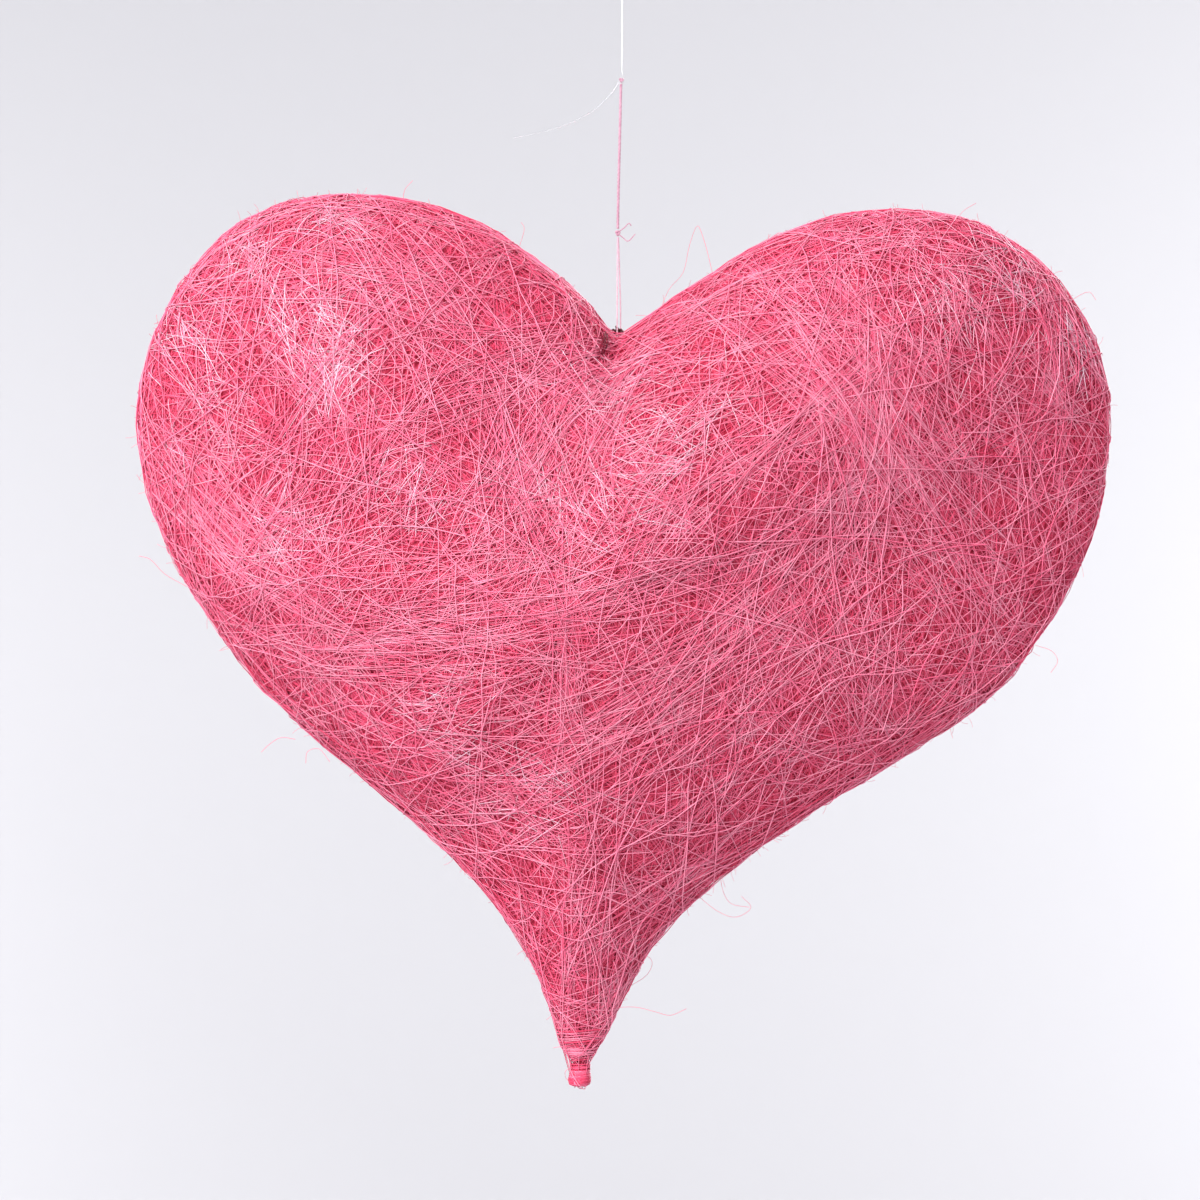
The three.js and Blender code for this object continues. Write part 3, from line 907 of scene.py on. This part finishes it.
def addRim(rng):
    middle = Vector(((heartLow[0] + heartHigh[0]) / 2, 0, (heartLow[2] + heartHigh[2]) / 2))
    strands = []
    while len(strands) < rim["count"]:
        angle = rng.uniform(0, 2 * math.pi)
        length = rng.uniform(*rim["length"]) * mm
        y, drift = rng.gauss(0, rim["offRim"]) * mm, rng.gauss(0, rim["drift"]) * mm
        path, gone = [], 0.0
        while gone < length:
            here, normal = rimPoint(angle, y + drift * gone / length)
            if here is None or path and (here - path[-1][0]).length > 3 * rim["step"] * mm:
                break
            path.append((here, normal))
            gone += rim["step"] * mm
            angle += rim["step"] * mm / (here - middle).length
        if len(path) > 3:
            strands.append(strandOn(rng, path, rim))
    addStrands("sisal_rim", strands)


addRim(rng)

# Turns round the tip, in mm: a tight collar, the neck and the knob
tip = {"lift": 0.25, "sway": 0.12, "wander": 0.1, "radius": (0.13, 0.2), "stepsPerTurn": 14,
       "climb": (0.2, 0.5), "outside": 50}
tipTurns = [
    {"from": -335.5, "to": -339.8, "fibres": 9, "turns": 1.6, "mix": (0, 3, 6)},
    {"from": -326.0, "to": -338.0, "fibres": 12, "turns": 1.2, "mix": (1, 5, 4)},
    {"from": -339.0, "to": -349.0, "fibres": 14, "turns": 3.2, "mix": (5, 5, 1)},
    {"from": -344.0, "to": -349.6, "fibres": 10, "turns": 2.4, "mix": (5, 4, 1)},
]


def addTip(rng):
    strands = []
    for band in tipTurns:
        layer = {**tip, "mix": band["mix"]}
        for _ in range(band["fibres"]):
            steps = round(band["turns"] * tip["stepsPerTurn"])
            low = rng.uniform(band["to"], (band["from"] + band["to"]) / 2)
            rise = rng.uniform(*tip["climb"]) * (band["from"] - band["to"])
            started = rng.uniform(0, 2 * math.pi)
            path = []
            for i in range(steps):
                angle = started + 2 * math.pi * i / tip["stepsPerTurn"]
                outward = Vector((math.cos(angle), math.sin(angle), 0))
                heart = Vector((tipAxis, 0, low + rise * i / steps)) * mm
                here, normal, _, _ = skinTree.ray_cast(heart + outward * tip["outside"] * mm, -outward)
                if here is not None:
                    path.append((here, normal))
            strands.append(strandOn(rng, path, layer))
    addStrands("sisal_tip", strands)


addTip(rng)

# Stray fibres that stand off the outline, in mm of the rim's plane, and short fuzz along the rim
stray = {"radius": 0.075, "offRim": 4, "sway": 0.8, "stepsPerSpan": 4, "dye": 1}
strayRoutes = [
    [(10.5, -114), (14.5, -103.5), (19, -98), (21, -89.5), (23.5, -83.5), (25.5, -88), (27.5, -95.5),
     (29, -102)],
    [(-67.5, -78), (-67, -72.5), (-64.5, -69.5)],
    [(-132.5, -102), (-133, -96.5), (-130.5, -95)],
    [(-134, -195), (-141, -191), (-145.5, -186.5), (-149, -185.5)],
    [(-100.5, -242), (-105, -241.5), (-109, -244), (-111, -246)],
    [(-90, -249), (-93.5, -245), (-97, -246), (-97.5, -249.5)],
    [(127.5, -213), (133, -215), (134.5, -218), (132.5, -221.5)],
    [(30, -280), (31.5, -289.5), (34, -293), (39.5, -294)],
    [(20, -287), (29.5, -295), (35.5, -297), (40, -294), (37, -290.5)],
    [(1, -312), (7.5, -309), (9.5, -311), (8, -315), (1, -319.5)],
    [(-5, -325), (4, -324.5), (10.5, -326), (15, -327), (20, -325)],
    [(-12, -337), (-18, -336.5), (-21, -337)],
    [(-13, -343), (-17, -344), (-17, -347), (-14, -348.5)],
    [(102, -85), (105, -79.5), (109.5, -76.5)],
    [(-31.5, -90), (-30, -84.5), (-31, -82.5)],
    [(138, -107), (144.5, -104), (146.5, -106.5)],
    [(-143, -135), (-148.5, -136.5), (-149.5, -140)],
]
fuzz = {"count": 260, "length": (1.5, 5.5), "offRim": 5, "radius": 0.055, "steps": 4, "lean": 1.1,
        "curl": (0.1, 0.45), "rooted": 0.5, "dyes": (0, 1)}


def addStrays(rng):
    strands = []
    for points in strayRoutes:
        y = rng.uniform(-stray["offRim"], stray["offRim"])
        route = [Vector((x, y + rng.gauss(0, stray["sway"]), z)) * mm for x, z in points]
        route = smoothRoute(route, stray["stepsPerSpan"])
        strands.append((route, [stray["radius"] * mm] * len(route), stray["dye"]))
    while len(strands) < len(strayRoutes) + fuzz["count"]:
        here, normal = rimPoint(rng.uniform(0, 2 * math.pi), rng.gauss(0, fuzz["offRim"]) * mm)
        if here is None:
            continue
        heading = (normal + fuzz["lean"] * anyHeading(rng, normal)).normalized()
        curl = anyHeading(rng, heading) * rng.uniform(*fuzz["curl"])
        step = rng.uniform(*fuzz["length"]) * mm / fuzz["steps"]
        route = [here - normal * fuzz["rooted"] * mm]
        for _ in range(fuzz["steps"]):
            route.append(route[-1] + heading * step)
            heading = (heading + curl).normalized()
        strands.append((route, [fuzz["radius"] * mm] * len(route), rng.choice(fuzz["dyes"])))
    addStrands("sisal_strays", strands)


addStrays(rng)


# Studio: a round pale room, open above, lit by a large soft light from the left, a weak fill from the right,
# one from behind and three on the walls
studio = {"floor": -1.1, "radius": 3.4, "wall": 2.6, "corner": 0.8, "cornerSteps": 8, "sides": 96}


def studioMaterial():
    material, _, _, shader = newMaterial("paleStudio")
    shader.inputs["Base Color"].default_value = (0.615, 0.61, 0.633, 1)
    shader.inputs["Roughness"].default_value = 0.9
    shader.inputs["Specular IOR Level"].default_value = 0.1
    return material


def addStudio():
    bm = bmesh.new()
    profile = [(0, studio["floor"]), (studio["radius"] - studio["corner"], studio["floor"])]
    for i in range(1, studio["cornerSteps"] + 1):
        angle = math.pi / 2 * i / studio["cornerSteps"]
        profile.append((studio["radius"] - studio["corner"] * (1 - math.sin(angle)),
                        studio["floor"] + studio["corner"] * (1 - math.cos(angle))))
    profile.append((studio["radius"], studio["wall"]))
    verts = [bm.verts.new((r, 0, z)) for r, z in profile]
    edges = [bm.edges.new(pair) for pair in zip(verts, verts[1:])]
    bmesh.ops.spin(bm, geom=verts + edges, axis=(0, 0, 1), cent=(0, 0, 0), angle=2 * math.pi,
                   steps=studio["sides"], use_merge=True)
    bmesh.ops.remove_doubles(bm, verts=bm.verts, dist=mm)
    bmesh.ops.recalc_face_normals(bm, faces=bm.faces)
    bmesh.ops.reverse_faces(bm, faces=bm.faces)
    mesh = bpy.data.meshes.new("studio")
    bm.to_mesh(mesh)
    bm.free()
    mesh.shade_smooth()
    room = linked("studio", mesh, studioMaterial())


heartMiddle = (0, 0, -0.2)
softLights = [
    {"name": "key", "place": (-1.15, -1.35, 0.8), "aim": heartMiddle, "size": 1.3, "power": 62},
    {"name": "fill", "place": (0.5, -1.75, -0.5), "aim": heartMiddle, "size": 1.4, "power": 10},
    {"name": "backdropRight", "place": (1.3, 2.4, -0.2), "aim": (0.6, 3.4, -0.1), "size": 0.6, "power": 14},
    {"name": "backdropLeft", "place": (-1.5, 2.4, -0.3), "aim": (-0.6, 3.4, -0.4), "size": 0.6, "power": 14},
    {"name": "behind", "place": (1.1, 1.7, 0.7), "aim": heartMiddle, "size": 1.2, "power": 36},
    {"name": "frontWall", "place": (0, -2.3, 0.4), "aim": (0, -3.4, 0.2), "size": 1.2, "power": 22},
]


def addSoftLight(soft):
    data = bpy.data.lights.new(soft["name"], "AREA")
    data.shape = "SQUARE"
    data.size = soft["size"]
    data.energy = soft["power"]
    light = bpy.data.objects.new(soft["name"], data)
    light.location = soft["place"]
    light.rotation_euler = (Vector(soft["aim"]) - light.location).to_track_quat("-Z", "Y").to_euler()
    light.visible_camera = False
    bpy.context.collection.objects.link(light)


def addWorld(colour, strength):
    world = bpy.data.worlds.new("softSky")
    world.use_nodes = True
    sky = world.node_tree.nodes["Background"]
    sky.inputs["Color"].default_value = (*colour, 1)
    sky.inputs["Strength"].default_value = strength
    bpy.context.scene.world = world


addStudio()
for soft in softLights:
    addSoftLight(soft)
addWorld((0.95, 0.96, 1), 0.65)
bpy.context.scene.view_settings.view_transform = "Standard"

# Few bounces are enough for thin strands in many layers
tracing = {"max_bounces": 4, "diffuse_bounces": 2, "glossy_bounces": 2, "transmission_bounces": 4}
for name, value in tracing.items():
    setattr(bpy.context.scene.cycles, name, value)
print("studio lit")
